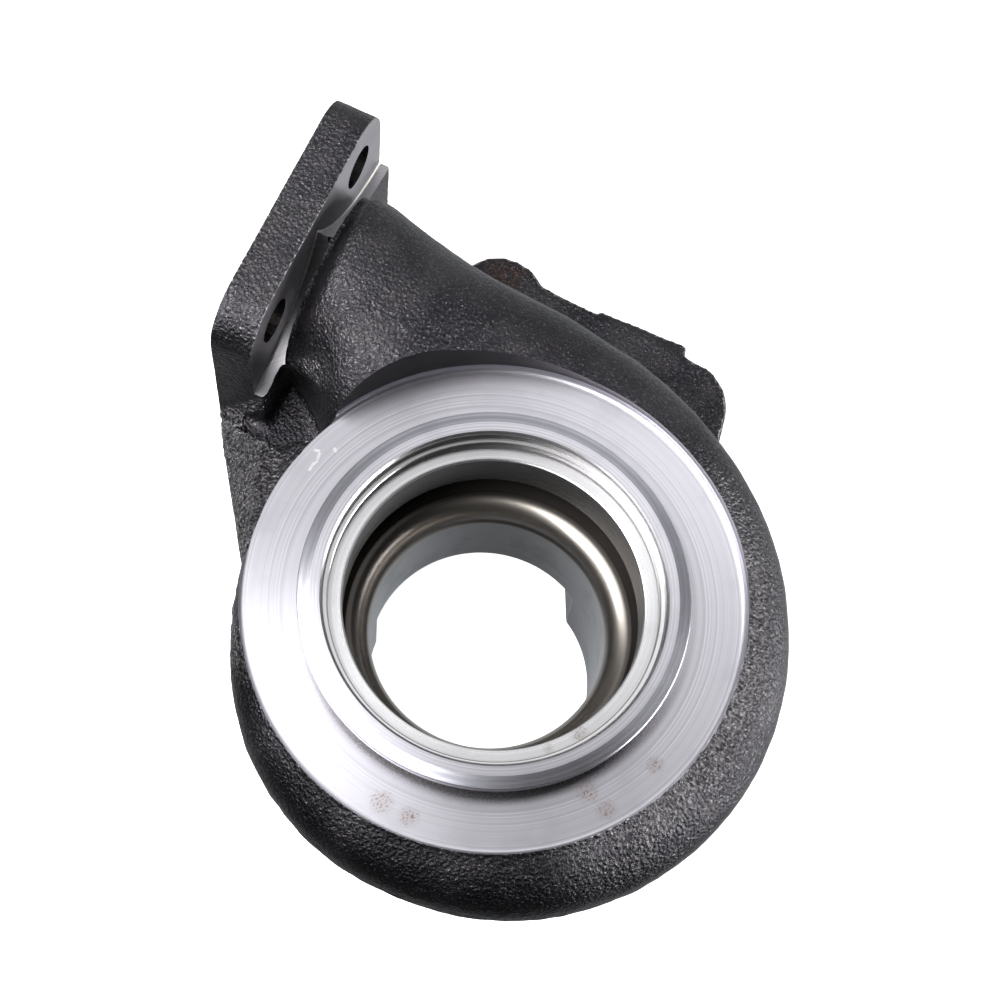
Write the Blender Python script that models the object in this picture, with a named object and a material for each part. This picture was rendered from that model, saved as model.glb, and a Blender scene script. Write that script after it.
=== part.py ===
"""Turbocharger turbine housing: one iron casting with its machined faces, bores and holes.

It is modelled round the wheel axis and then placed with the middle of its footprint on the origin.
The wheel axis points along +Z and the machined discharge face lies on z = 0, so the clamp ring for
the bearing housing is on top. Lengths are in metres; MM turns millimetres into metres.
"""

import math

import bmesh
import bpy
from mathutils import Vector

MM = 0.001

# Place of the wheel axis once the middle of the footprint is on the origin
WHEEL_AXIS_X = -2.3 * MM
WHEEL_AXIS_Y = -27.27 * MM

# Heights above the discharge face
HOUSING_HEIGHT = 72.0 * MM
CLEARANCE_FACE_DEPTH = 6.05 * MM
NOZZLE_TOP_DEPTH = 17.9 * MM
NOZZLE_WIDTH = 6.2 * MM

# Clamp ring for the bearing housing, turned on top of the casting
RING_OUTER_RADIUS = 43.1 * MM
RING_FACE_RADIUS = 40.8 * MM
RING_CHAMFER_HEIGHT = 0.9 * MM
RING_LIP_HEIGHT = 1.9 * MM
RING_GROOVE_RADIUS = 41.0 * MM
RING_FLANK_HEIGHT = 1.3 * MM
RING_ROOT_DEPTH = 8.0 * MM

# Clearance face round the ring, and the recess wall that the facing tool left
CLEARANCE_RADIUS = 56.3 * MM
CLEARANCE_FILLET = 0.9 * MM
FACING_HEIGHT = 30.0 * MM

# Stepped centre bore, nozzle slot, shroud contour and exducer bore
BORE_CHAMFER = 0.7 * MM
PILOT_RADIUS = 37.5 * MM
PILOT_DEPTH = 3.0 * MM
LEDGE_RADIUS = 36.5 * MM
SEAT_DEPTH = 5.6 * MM
SEAT_GROOVE_RADIUS = 36.9 * MM
SEAT_GROOVE_WIDTH = 0.8 * MM
WHEEL_BORE_RADIUS = 33.3 * MM
NOZZLE_REACH_RADIUS = 41.0 * MM
SHROUD_LIP_RADIUS = 32.6 * MM
SHROUD_DROP = 6.5 * MM
EXDUCER_RADIUS = 27.1 * MM
DISCHARGE_CHAMFER = 1.0 * MM

# Inlet flange: its gasket face looks along FLANGE_OUT and its long way runs along FLANGE_ALONG
FLANGE_TURN = math.radians(64.3)
GASKET_OFFSET = 83.0 * MM
FLANGE_THICKNESS = 13.0 * MM
FLANGE_BACK = GASKET_OFFSET - FLANGE_THICKNESS
FLANGE_WIDTH = 68.2 * MM
FLANGE_HEIGHT = 66.5 * MM
FLANGE_CORNER = 11.5 * MM
FLANGE_DRAFT = 0.8 * MM
FLANGE_RISE = 8.5 * MM
FLANGE_BOLT_ALONG = 61.05 * MM
FLANGE_BOLT_SIDE_EDGE = 12.1 * MM
FLANGE_BOLT_TOP_EDGE = 12.5 * MM
FLANGE_BOLT_FOOT_EDGE = 10.0 * MM
BOLT_HOLE_RADIUS = 5.5 * MM
SWEEP_RADIUS = 46.0 * MM
SWEEP_LEAN = math.radians(29.6)
SWEEP_WALL = 3.0 * MM
SWEEP_DEPTH = 2.8 * MM
SPOTFACE_RADIUS = 10.0 * MM
SPOTFACE_EXCESS = 0.8 * MM
PORT_WIDTH = 31.0 * MM
PORT_HEIGHT = 31.0 * MM
PORT_SINK = 6.0 * MM

# Outer casting of the inlet duct: offset from the axis plane, inner and outer edge along the
# flange, rise above and drop below the volute's middle, and the power that squares its section
DUCT_SECTIONS = (
    (FLANGE_BACK + 4.0 * MM, 37.0 * MM, 82.0 * MM, 15.5 * MM, 27.0 * MM, 2.4),
    (FLANGE_BACK + 0.8 * MM, 37.0 * MM, 82.5 * MM, 16.5 * MM, 29.0 * MM, 2.4),
    (FLANGE_BACK - 3.0 * MM, 36.0 * MM, 81.0 * MM, 23.0 * MM, 32.0 * MM, 2.4),
    (FLANGE_BACK - 5.5 * MM, 35.0 * MM, 80.2 * MM, 30.5 * MM, 34.0 * MM, 2.4),
    (FLANGE_BACK - 10.0 * MM, 31.5 * MM, 79.7 * MM, 31.0 * MM, 34.0 * MM, 2.4),
    (0.60 * GASKET_OFFSET, 22.0 * MM, 77.5 * MM, 30.0 * MM, 33.0 * MM, 2.4),
    (0.46 * GASKET_OFFSET, 18.5 * MM, 75.6 * MM, 28.6 * MM, 31.0 * MM, 2.3),
    (0.34 * GASKET_OFFSET, 17.5 * MM, 75.3 * MM, 24.8 * MM, 29.5 * MM, 2.3),
    (0.16 * GASKET_OFFSET, 17.5 * MM, 74.8 * MM, 22.2 * MM, 28.0 * MM, 2.3),
)
# Outer casting of the volute: turn round the axis in degrees, outer radius, rise of its shoulder
# where the facing tool meets it, drop of its foot below the middle, and power
VOLUTE_SECTIONS = (
    (64.3, 72.7 * MM, 19.0 * MM, 27.0 * MM, 2.3),
    (40.0, 68.9 * MM, 18.5 * MM, 25.5 * MM, 2.3),
    (8.0, 67.9 * MM, 19.0 * MM, 23.5 * MM, 2.2),
    (-20.0, 68.5 * MM, 15.3 * MM, 22.0 * MM, 2.2),
    (-40.0, 68.8 * MM, 14.9 * MM, 21.0 * MM, 2.2),
    (-65.0, 68.3 * MM, 14.9 * MM, 20.0 * MM, 2.2),
    (-90.0, 67.1 * MM, 14.9 * MM, 19.5 * MM, 2.2),
    (-110.0, 65.3 * MM, 14.9 * MM, 19.0 * MM, 2.2),
    (-131.0, 63.8 * MM, 14.9 * MM, 18.0 * MM, 2.2),
    (-156.0, 61.1 * MM, 14.6 * MM, 16.0 * MM, 2.3),
    (-176.0, 58.3 * MM, 14.4 * MM, 14.0 * MM, 2.5),
    (-191.0, 56.8 * MM, 14.2 * MM, 13.0 * MM, 2.6),
)
VOLUTE_MIDDLE_RADIUS = 46.0 * MM
VOLUTE_MIDDLE_DEPTH = 21.0 * MM

# Gas passage in the duct: offset, inner and outer edge, half height and power
DUCT_PASSAGE = (
    (GASKET_OFFSET + 3.0 * MM, None, None, 0.5 * PORT_HEIGHT, 2.3),
    (GASKET_OFFSET - 15.0 * MM, None, None, 0.5 * PORT_HEIGHT, 2.3),
    (0.58 * GASKET_OFFSET, 43.0 * MM, 74.0 * MM, 16.0 * MM, 2.4),
    (0.30 * GASKET_OFFSET, 40.0 * MM, 72.0 * MM, 15.6 * MM, 2.4),
)
# Gas passage in the volute: turn in degrees, outer radius, half height, and how far its middle
# lies below the volute's
VOLUTE_PASSAGE = (
    (64.3, 68.8 * MM, 15.0 * MM, 5.0 * MM),
    (30.0, 65.5 * MM, 15.0 * MM, 4.5 * MM),
    (0.0, 63.0 * MM, 14.0 * MM, 3.5 * MM),
    (-60.0, 61.0 * MM, 12.0 * MM, 2.0 * MM),
    (-120.0, 59.0 * MM, 9.5 * MM, 1.0 * MM),
    (-165.0, 53.5 * MM, 6.5 * MM, 0.5 * MM),
    (-195.0, 47.0 * MM, 4.5 * MM, 0.0 * MM),
)
PASSAGE_INNER_RADIUS = 37.5 * MM
PASSAGE_POWER = 2.3

# Hub casting that carries the ring, the shroud and the exducer tube
HUB_SHOULDER_DEPTH = 30.0 * MM
HUB_NECK_RADIUS = 44.0 * MM
HUB_NECK_DEPTH = 38.0 * MM
HUB_TUBE_RADIUS = 36.0 * MM
HUB_TUBE_DEPTH = 50.5 * MM
HUB_FOOT_HEIGHT = 4.0 * MM

# Web between the flange's lower end and the volute: outline and the slope of its rough top
WEB_OUTLINE = (
    (-63.3 * MM, 58.0 * MM),
    (-55.4 * MM, 9.4 * MM),
    (-40.0 * MM, 4.0 * MM),
    (-24.0 * MM, 30.0 * MM),
    (-34.0 * MM, 62.0 * MM),
    (-50.0 * MM, 70.0 * MM),
)
WEB_POCKET_OUTLINE = (
    (-66.0 * MM, 63.0 * MM),
    (-60.2 * MM, 55.7 * MM),
    (-50.7 * MM, 43.9 * MM),
    (-47.3 * MM, 41.9 * MM),
    (-45.2 * MM, 44.0 * MM),
    (-38.0 * MM, 42.0 * MM),
    (-22.0 * MM, 32.0 * MM),
    (-26.0 * MM, 68.0 * MM),
    (-50.0 * MM, 76.0 * MM),
)
WEB_PEAK_X = -43.7 * MM
WEB_PEAK_Y = 34.1 * MM
WEB_NORMAL = Vector((-0.82, 0.193, 0.538))
WEB_DEPTH = 45.95 * MM
WEB_POCKET_DEPTH = 31.45 * MM

# Discharge flange: bolt lobes as x, y, lobe radius and how far its arc turns in past each
# tangent in degrees, and the straight land between the last lobe and the first
DISCHARGE_LOBES = (
    (6.7 * MM, 99.2 * MM, 12.2 * MM, 40.0),
    (-40.0 * MM, 52.0 * MM, 11.2 * MM, 0.0),
    (-37.0 * MM, -24.0 * MM, 11.2 * MM, 0.0),
    (24.0 * MM, -36.0 * MM, 11.2 * MM, 0.0),
    (52.3 * MM, 70.2 * MM, 12.5 * MM, 0.0),
)
DISCHARGE_THICKNESS = 12.0 * MM
DISCHARGE_EDGE_CHAMFER = 1.2 * MM
STUD_HOLE_RADIUS = 4.25 * MM
STUD_HOLE_DEPTH = 9.5 * MM
LAND_CENTRE = (44.4 * MM, 91.5 * MM)
LAND_TURN = math.radians(-24.2)
LAND_LENGTH = 24.9 * MM
LAND_DEPTH = 18.0 * MM

# Wastegate pocket beside the exducer, its port into the duct, and the wall round the pocket
POCKET_ROOF = 9.5 * MM
POCKET_HALF_WIDTH = 23.0 * MM
POCKET_CENTRE_X = -0.5 * MM
POCKET_END_Y = 60.0 * MM
POCKET_START_Y = 4.0 * MM
POCKET_WALL = 6.5 * MM
CHAMBER_DEPTH = 35.0 * MM
WASTEGATE_RADIUS = 11.5 * MM
WASTEGATE_Y = 59.0 * MM
WASTEGATE_SEAT_RADIUS = 15.5 * MM
WASTEGATE_SEAT_DEPTH = 0.8 * MM

# Number of facets
TURN_SEGMENTS = 72
HOLE_SEGMENTS = 28
SECTION_SEGMENTS = 36
PASSAGE_SEGMENTS = 28
VOLUTE_STEP = 8.0
CORNER_STEPS = 6

AXIS = Vector((0.0, 0.0, 1.0))
FLANGE_ALONG = Vector((math.cos(FLANGE_TURN), math.sin(FLANGE_TURN), 0.0))
FLANGE_OUT = Vector((-math.sin(FLANGE_TURN), math.cos(FLANGE_TURN), 0.0))
CLEARANCE_FACE = HOUSING_HEIGHT - CLEARANCE_FACE_DEPTH
HUB_RADIUS = CLEARANCE_RADIUS - CLEARANCE_FILLET
NOZZLE_TOP = HOUSING_HEIGHT - NOZZLE_TOP_DEPTH
NOZZLE_FLOOR = NOZZLE_TOP - NOZZLE_WIDTH
VOLUTE_MIDDLE = HOUSING_HEIGHT - VOLUTE_MIDDLE_DEPTH
PORT_MIDDLE = VOLUTE_MIDDLE - PORT_SINK
POCKET_FLOOR = PORT_MIDDLE - 0.5 * PORT_HEIGHT - POCKET_ROOF
CHAMBER_TOP = HOUSING_HEIGHT - CHAMBER_DEPTH
FLANGE_TOP = HOUSING_HEIGHT + FLANGE_RISE
BOLT_SEAT = FLANGE_BACK + SWEEP_DEPTH
SEAT_CUT_END = FLANGE_BACK - SPOTFACE_EXCESS
FLANGE_BOLT_WIDTH = FLANGE_WIDTH - 2.0 * FLANGE_BOLT_SIDE_EDGE
FLANGE_BOLT_HEIGHT = FLANGE_HEIGHT - FLANGE_BOLT_TOP_EDGE - FLANGE_BOLT_FOOT_EDGE
FLANGE_BOLT_TOP = FLANGE_TOP - FLANGE_BOLT_TOP_EDGE
FLANGE_MIDDLE = FLANGE_BOLT_TOP - 0.5 * FLANGE_BOLT_HEIGHT
PAST = 2.0 * MM


def clear_scene():
    for thing in list(bpy.data.objects):
        bpy.data.objects.remove(thing)


def make_material(name, color, roughness, metallic):
    material = bpy.data.materials.new(name)
    material.use_nodes = True
    shader = material.node_tree.nodes["Principled BSDF"]
    shader.inputs["Base Color"].default_value = (*color, 1.0)
    shader.inputs["Roughness"].default_value = roughness
    shader.inputs["Metallic"].default_value = metallic
    return material


def solid_from(name, bm, material):
    bmesh.ops.recalc_face_normals(bm, faces=bm.faces)
    bmesh.ops.triangulate(bm, faces=[face for face in bm.faces if len(face.verts) > 4])
    mesh = bpy.data.meshes.new(name)
    bm.to_mesh(mesh)
    bm.free()
    mesh.materials.append(material)
    solid = bpy.data.objects.new(name, mesh)
    bpy.context.scene.collection.objects.link(solid)
    return solid


def turned(name, profile, material, segments=TURN_SEGMENTS, centre=(0.0, 0.0)):
    """A solid of revolution: profile points are radius and height, first and last on the axis."""
    bm = bmesh.new()
    rings = []
    for radius, height in profile:
        if radius == 0.0:
            rings.append([bm.verts.new((centre[0], centre[1], height))])
            continue
        ring = []
        for index in range(segments):
            turn = 2.0 * math.pi * index / segments
            x = centre[0] + radius * math.cos(turn)
            y = centre[1] + radius * math.sin(turn)
            ring.append(bm.verts.new((x, y, height)))
        rings.append(ring)
    for below, above in zip(rings, rings[1:]):
        for index in range(segments):
            after = (index + 1) % segments
            corners = {below[index % len(below)]: None, below[after % len(below)]: None}
            corners[above[after % len(above)]] = None
            corners[above[index % len(above)]] = None
            bm.faces.new(list(corners))
    return solid_from(name, bm, material)


def lofted(name, sections, material):
    """A closed solid through sections of equal point count, with a flat cap at each end."""
    bm = bmesh.new()
    rings = [[bm.verts.new(point) for point in section] for section in sections]
    count = len(rings[0])
    for near, far in zip(rings, rings[1:]):
        for index in range(count):
            after = (index + 1) % count
            bm.faces.new((near[index], near[after], far[after], far[index]))
    bm.faces.new(rings[0][::-1])
    bm.faces.new(rings[-1])
    return solid_from(name, bm, material)


def prism(name, outline, low, high, material, chamfer=None):
    """An upright solid on an outline of x, y points, with an inset outline on top if it has one."""
    sections = [[Vector((x, y, low)) for x, y in outline]]
    if chamfer:
        inset_outline, drop = chamfer
        sections.append([Vector((x, y, high - drop)) for x, y in outline])
        sections.append([Vector((x, y, high)) for x, y in inset_outline])
    else:
        sections.append([Vector((x, y, high)) for x, y in outline])
    return lofted(name, sections, material)


def on_flange(offset, along, height):
    """A point given by its distance out from the axis, its place along the flange and its height."""
    return FLANGE_OUT * offset + FLANGE_ALONG * along + AXIS * height


def flange_prism(name, outline, near, far, material, far_outline=None):
    """A solid on an outline of along, height points that reaches from one offset to another."""
    first = [on_flange(near, along, height) for along, height in outline]
    second = [on_flange(far, along, height) for along, height in far_outline or outline]
    return lofted(name, [first, second], material)


def rounded_rectangle(low_u, high_u, low_v, high_v, radius, steps=CORNER_STEPS):
    corners = (
        (high_u - radius, high_v - radius, 0.0),
        (low_u + radius, high_v - radius, 90.0),
        (low_u + radius, low_v + radius, 180.0),
        (high_u - radius, low_v + radius, 270.0),
    )
    points = []
    for centre_u, centre_v, start in corners:
        points += arc((centre_u, centre_v), radius, start, start + 90.0, steps)
    return points


def arc(centre, radius, start, end, steps):
    """Points on an arc, both ends included; the turns are in degrees."""
    points = []
    for index in range(steps + 1):
        turn = math.radians(start + (end - start) * index / steps)
        points.append((centre[0] + radius * math.cos(turn), centre[1] + radius * math.sin(turn)))
    return points


def superellipse(centre, across, half_across, rise, drop, power, count):
    """A squared oval in the plane of across and the axis; rise and drop are its half heights."""
    points = []
    for index in range(count):
        turn = 2.0 * math.pi * index / count
        side = math.copysign(abs(math.cos(turn)) ** (2.0 / power), math.cos(turn))
        lift = math.copysign(abs(math.sin(turn)) ** (2.0 / power), math.sin(turn))
        height = lift * (rise if lift > 0.0 else drop)
        points.append(centre + across * (side * half_across) + AXIS * height)
    return points


def between(stations, position):
    """The values at a position on a smooth curve through stations, whose first value is place."""
    order = sorted(stations)
    index = max(i for i in range(len(order) - 1) if i == 0 or order[i][0] <= position)
    low = order[index]
    high = order[index + 1]
    before = order[max(index - 1, 0)]
    after = order[min(index + 2, len(order) - 1)]
    span = high[0] - low[0]
    t = (position - low[0]) / span
    values = []
    for k in range(1, len(low)):
        slope_low = (high[k] - before[k]) / (high[0] - before[0]) * span
        slope_high = (after[k] - low[k]) / (after[0] - low[0]) * span
        rise = high[k] - low[k]
        bend_a = 3.0 * rise - 2.0 * slope_low - slope_high
        bend_b = slope_low + slope_high - 2.0 * rise
        values.append(low[k] + t * (slope_low + t * (bend_a + t * bend_b)))
    return values


def volute_turns():
    """The turns of the volute's sections in degrees, from the duct round to the tongue."""
    first = VOLUTE_SECTIONS[0][0]
    last = VOLUTE_SECTIONS[-1][0]
    steps = round((first - last) / VOLUTE_STEP)
    return [first + (last - first) * index / steps for index in range(steps + 1)]


def volute_casting(material):
    """The outer skin of duct and volute, in one sweep from the inlet flange to the tongue."""
    sections = []
    for offset, inner, outer, rise, drop, power in DUCT_SECTIONS:
        centre = on_flange(offset, 0.5 * (inner + outer), VOLUTE_MIDDLE)
        half = 0.5 * (outer - inner)
        sections.append(superellipse(centre, FLANGE_ALONG, half, rise, drop, power, SECTION_SEGMENTS))
    for turn in volute_turns():
        outer, shoulder, drop, power = between(VOLUTE_SECTIONS, turn)
        half = outer - VOLUTE_MIDDLE_RADIUS
        share = (CLEARANCE_RADIUS - VOLUTE_MIDDLE_RADIUS) / half
        share = min(share, 0.97)
        rise = shoulder / (1.0 - share**power) ** (1.0 / power)
        across = Vector((math.cos(math.radians(turn)), math.sin(math.radians(turn)), 0.0))
        centre = across * VOLUTE_MIDDLE_RADIUS + AXIS * VOLUTE_MIDDLE
        sections.append(superellipse(centre, across, half, rise, drop, power, SECTION_SEGMENTS))
    return lofted("volute_casting", sections, material)


def gas_passage(material):
    """The cored passage: square at the gasket face, oval in the duct, narrowing round the volute."""
    sections = []
    for offset, inner, outer, half_height, power in DUCT_PASSAGE:
        if inner is None:
            inner = FLANGE_BOLT_ALONG - 0.5 * PORT_WIDTH
            outer = FLANGE_BOLT_ALONG + 0.5 * PORT_WIDTH
        centre = on_flange(offset, 0.5 * (inner + outer), PORT_MIDDLE)
        half = 0.5 * (outer - inner)
        sections.append(
            superellipse(
                centre, FLANGE_ALONG, half, half_height, half_height, power, PASSAGE_SEGMENTS
            )
        )
    first = VOLUTE_PASSAGE[0][0]
    last = VOLUTE_PASSAGE[-1][0]
    steps = round((first - last) / VOLUTE_STEP)
    for index in range(steps + 1):
        turn = first + (last - first) * index / steps
        outer, half_height, sink = between(VOLUTE_PASSAGE, turn)
        across = Vector((math.cos(math.radians(turn)), math.sin(math.radians(turn)), 0.0))
        half = 0.5 * (outer - PASSAGE_INNER_RADIUS)
        centre = across * (PASSAGE_INNER_RADIUS + half) + AXIS * (VOLUTE_MIDDLE - sink)
        sections.append(
            superellipse(
                centre, across, half, half_height, half_height, PASSAGE_POWER, PASSAGE_SEGMENTS
            )
        )
    return lofted("gas_passage", sections, material)


def hub_casting(material):
    profile = (
        (0.0, HUB_FOOT_HEIGHT),
        (HUB_TUBE_RADIUS, HUB_FOOT_HEIGHT),
        (HUB_TUBE_RADIUS, HOUSING_HEIGHT - HUB_TUBE_DEPTH),
        (HUB_NECK_RADIUS, HOUSING_HEIGHT - HUB_NECK_DEPTH),
        (HUB_RADIUS, HOUSING_HEIGHT - HUB_SHOULDER_DEPTH),
        (HUB_RADIUS, CLEARANCE_FACE + PAST),
        (0.0, CLEARANCE_FACE + PAST),
    )
    return turned("hub_casting", profile, material)


def clamp_ring(material):
    """The ring that the clamp band grips: flat face, outer chamfer, lip and tapered back flank."""
    lip_top = HOUSING_HEIGHT - RING_CHAMFER_HEIGHT
    lip_foot = lip_top - RING_LIP_HEIGHT
    profile = (
        (0.0, HOUSING_HEIGHT - RING_ROOT_DEPTH - PAST),
        (RING_GROOVE_RADIUS, HOUSING_HEIGHT - RING_ROOT_DEPTH - PAST),
        (RING_GROOVE_RADIUS, lip_foot - RING_FLANK_HEIGHT),
        (RING_OUTER_RADIUS, lip_foot),
        (RING_OUTER_RADIUS, lip_top),
        (RING_FACE_RADIUS, HOUSING_HEIGHT),
        (0.0, HOUSING_HEIGHT),
    )
    return turned("clamp_ring", profile, material)


def facing_cut(material):
    """The disc that the facing tool clears above the clearance face."""
    top = CLEARANCE_FACE + FACING_HEIGHT
    middle = (CLEARANCE_RADIUS - CLEARANCE_FILLET, CLEARANCE_FACE + CLEARANCE_FILLET)
    fillet = arc(middle, CLEARANCE_FILLET, 270.0, 360.0, 3)
    profile = [(0.0, CLEARANCE_FACE), *fillet, (CLEARANCE_RADIUS, top), (0.0, top)]
    return turned("facing_cut", profile, material)


def centre_bore(material):
    """Everything that is turned out round the axis, from the pilot down to the discharge face."""
    seat = HOUSING_HEIGHT - SEAT_DEPTH
    shroud_foot = NOZZLE_FLOOR - SHROUD_DROP
    shroud = []
    for index in range(7):
        turn = 0.5 * math.pi * index / 6
        radius = SHROUD_LIP_RADIUS - (SHROUD_LIP_RADIUS - EXDUCER_RADIUS) * math.sin(turn)
        shroud.append((radius, shroud_foot + SHROUD_DROP * math.cos(turn)))
    profile = [
        (0.0, HOUSING_HEIGHT + PAST),
        (PILOT_RADIUS + BORE_CHAMFER + PAST, HOUSING_HEIGHT + PAST),
        (PILOT_RADIUS, HOUSING_HEIGHT - BORE_CHAMFER),
        (PILOT_RADIUS, HOUSING_HEIGHT - PILOT_DEPTH),
        (LEDGE_RADIUS, HOUSING_HEIGHT - PILOT_DEPTH),
        (LEDGE_RADIUS, seat + SEAT_GROOVE_WIDTH),
        (SEAT_GROOVE_RADIUS, seat + SEAT_GROOVE_WIDTH),
        (SEAT_GROOVE_RADIUS, seat),
        (WHEEL_BORE_RADIUS + 0.5 * BORE_CHAMFER, seat),
        (WHEEL_BORE_RADIUS, seat - 0.5 * BORE_CHAMFER),
        (WHEEL_BORE_RADIUS, NOZZLE_TOP),
        (NOZZLE_REACH_RADIUS, NOZZLE_TOP),
        (NOZZLE_REACH_RADIUS, NOZZLE_FLOOR),
        *shroud,
        (EXDUCER_RADIUS, DISCHARGE_CHAMFER),
        (EXDUCER_RADIUS + DISCHARGE_CHAMFER + PAST, -PAST),
        (0.0, -PAST),
    ]
    return turned("centre_bore", profile, material)


def flange_bolts():
    """The four bolt places as along and height."""
    places = []
    for side in (-0.5, 0.5):
        for level in (-0.5, 0.5):
            along = FLANGE_BOLT_ALONG + side * FLANGE_BOLT_WIDTH
            places.append((along, FLANGE_MIDDLE + level * FLANGE_BOLT_HEIGHT))
    return places


def inlet_flange(material):
    low = FLANGE_BOLT_ALONG - 0.5 * FLANGE_WIDTH
    high = FLANGE_BOLT_ALONG + 0.5 * FLANGE_WIDTH
    foot = FLANGE_TOP - FLANGE_HEIGHT
    face = rounded_rectangle(low, high, foot, FLANGE_TOP, FLANGE_CORNER)
    back = rounded_rectangle(
        low + FLANGE_DRAFT,
        high - FLANGE_DRAFT,
        foot + FLANGE_DRAFT,
        FLANGE_TOP - FLANGE_DRAFT,
        FLANGE_CORNER - FLANGE_DRAFT,
    )
    return flange_prism("inlet_flange", face, GASKET_OFFSET, FLANGE_BACK, material, back)


def swept_face(material):
    """The cut behind the two front bolts, left by a large cutter that came in from either end."""
    share = 0.5 ** (1.0 / PASSAGE_POWER)
    corner_along = 0.5 * PORT_WIDTH * share
    corner_height = PORT_MIDDLE + 0.5 * PORT_HEIGHT * share
    spread = SWEEP_RADIUS * math.cos(SWEEP_LEAN)
    reach = SWEEP_RADIUS + SWEEP_WALL
    height = corner_height + math.sqrt(reach**2 - (spread - corner_along) ** 2)
    low = (FLANGE_BOLT_ALONG - spread, height)
    high = (FLANGE_BOLT_ALONG + spread, height)
    lean = math.degrees(SWEEP_LEAN)
    outline = arc(low, SWEEP_RADIUS, 270.0, 360.0 - lean, 2 * CORNER_STEPS)
    outline += arc(high, SWEEP_RADIUS, 180.0 + lean, 270.0, 2 * CORNER_STEPS)[1:]
    outline += [high, low]
    return flange_prism("swept_face", outline, BOLT_SEAT, SEAT_CUT_END, material)


def spotface(place, material):
    """The round seat for the nut of one hidden bolt."""
    outline = arc(place, SPOTFACE_RADIUS, 0.0, 360.0, HOLE_SEGMENTS)[:-1]
    return flange_prism("spotface", outline, BOLT_SEAT, SEAT_CUT_END, material)


def flange_hole(place, material):
    along, height = place
    outline = arc((along, height), BOLT_HOLE_RADIUS, 0.0, 360.0, HOLE_SEGMENTS)[:-1]
    return flange_prism("flange_hole", outline, GASKET_OFFSET + PAST, SEAT_CUT_END + PAST, material)


def web_casting(material):
    """The rough sloping web, with the pocket between it, the flange and the duct."""
    low = [Vector((x, y, CLEARANCE_FACE - WEB_DEPTH)) for x, y in WEB_OUTLINE]
    high = []
    for x, y in WEB_OUTLINE:
        run = (WEB_PEAK_X - x) * WEB_NORMAL.x + (WEB_PEAK_Y - y) * WEB_NORMAL.y
        height = CLEARANCE_FACE + run / WEB_NORMAL.z
        high.append(Vector((x, y, min(height, CLEARANCE_FACE + PAST))))
    web = lofted("web_casting", [low, high], material)
    top = HOUSING_HEIGHT + FACING_HEIGHT
    pocket = prism("web_pocket", WEB_POCKET_OUTLINE, CLEARANCE_FACE - WEB_POCKET_DEPTH, top, material)
    combine(web, pocket, "DIFFERENCE")
    return web


def around_lobes(inset):
    """The outline round the bolt lobes, in order against the clock, as arcs and straights."""
    points = []
    count = len(DISCHARGE_LOBES)
    for index, lobe in enumerate(DISCHARGE_LOBES):
        x, y, radius, turn_in = lobe
        start = tangent_turn(DISCHARGE_LOBES[index - 1], lobe)
        end = tangent_turn(lobe, DISCHARGE_LOBES[(index + 1) % count])
        while end < start:
            end += 360.0
        start -= turn_in
        end += turn_in
        points += arc((x, y), radius - inset, start, end, 2 * CORNER_STEPS)
    return points


def tangent_turn(one, other):
    """The outward turn in degrees of the outer tangent from one circle to the next."""
    step = Vector((other[0] - one[0], other[1] - one[1]))
    lean = math.asin((one[2] - other[2]) / step.length)
    return math.degrees(math.atan2(step.y, step.x) + lean) - 90.0


def discharge_flange(material):
    rim = around_lobes(0.0)
    inset = around_lobes(DISCHARGE_EDGE_CHAMFER)
    chamfer = (inset, DISCHARGE_EDGE_CHAMFER)
    flange = prism("discharge_flange", rim, 0.0, DISCHARGE_THICKNESS, material, chamfer)
    along = Vector((math.cos(LAND_TURN), math.sin(LAND_TURN)))
    inward = Vector((math.sin(LAND_TURN), -math.cos(LAND_TURN)))
    outline = []
    for side, depth in ((0.5, 0.0), (-0.5, 0.0), (-0.5, 1.0), (0.5, 1.0)):
        place = Vector(LAND_CENTRE) + along * side * LAND_LENGTH + inward * depth * LAND_DEPTH
        outline.append((place.x, place.y))
    land_top = DISCHARGE_THICKNESS - 0.5 * DISCHARGE_EDGE_CHAMFER
    combine(flange, prism("land", outline, 0.0, land_top, material), "UNION")
    return flange


def pocket_outline(grow):
    """A slot with a round end: the wastegate pocket, or its wall when grown."""
    radius = POCKET_HALF_WIDTH + grow
    points = arc((POCKET_CENTRE_X, POCKET_END_Y), radius, 0.0, 180.0, 2 * CORNER_STEPS)
    points += [(POCKET_CENTRE_X - radius, POCKET_START_Y), (POCKET_CENTRE_X + radius, POCKET_START_Y)]
    return points


def combine(body, tool, operation):
    """Joins the tool to the body or cuts it away, and removes the tool."""
    step = body.modifiers.new(tool.name, "BOOLEAN")
    step.operation = operation
    step.solver = "EXACT"
    step.material_mode = "TRANSFER"
    step.object = tool
    graph = bpy.context.evaluated_depsgraph_get()
    mesh = bpy.data.meshes.new_from_object(body.evaluated_get(graph))
    body.modifiers.remove(step)
    body.data = mesh
    bpy.data.objects.remove(tool)


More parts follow.
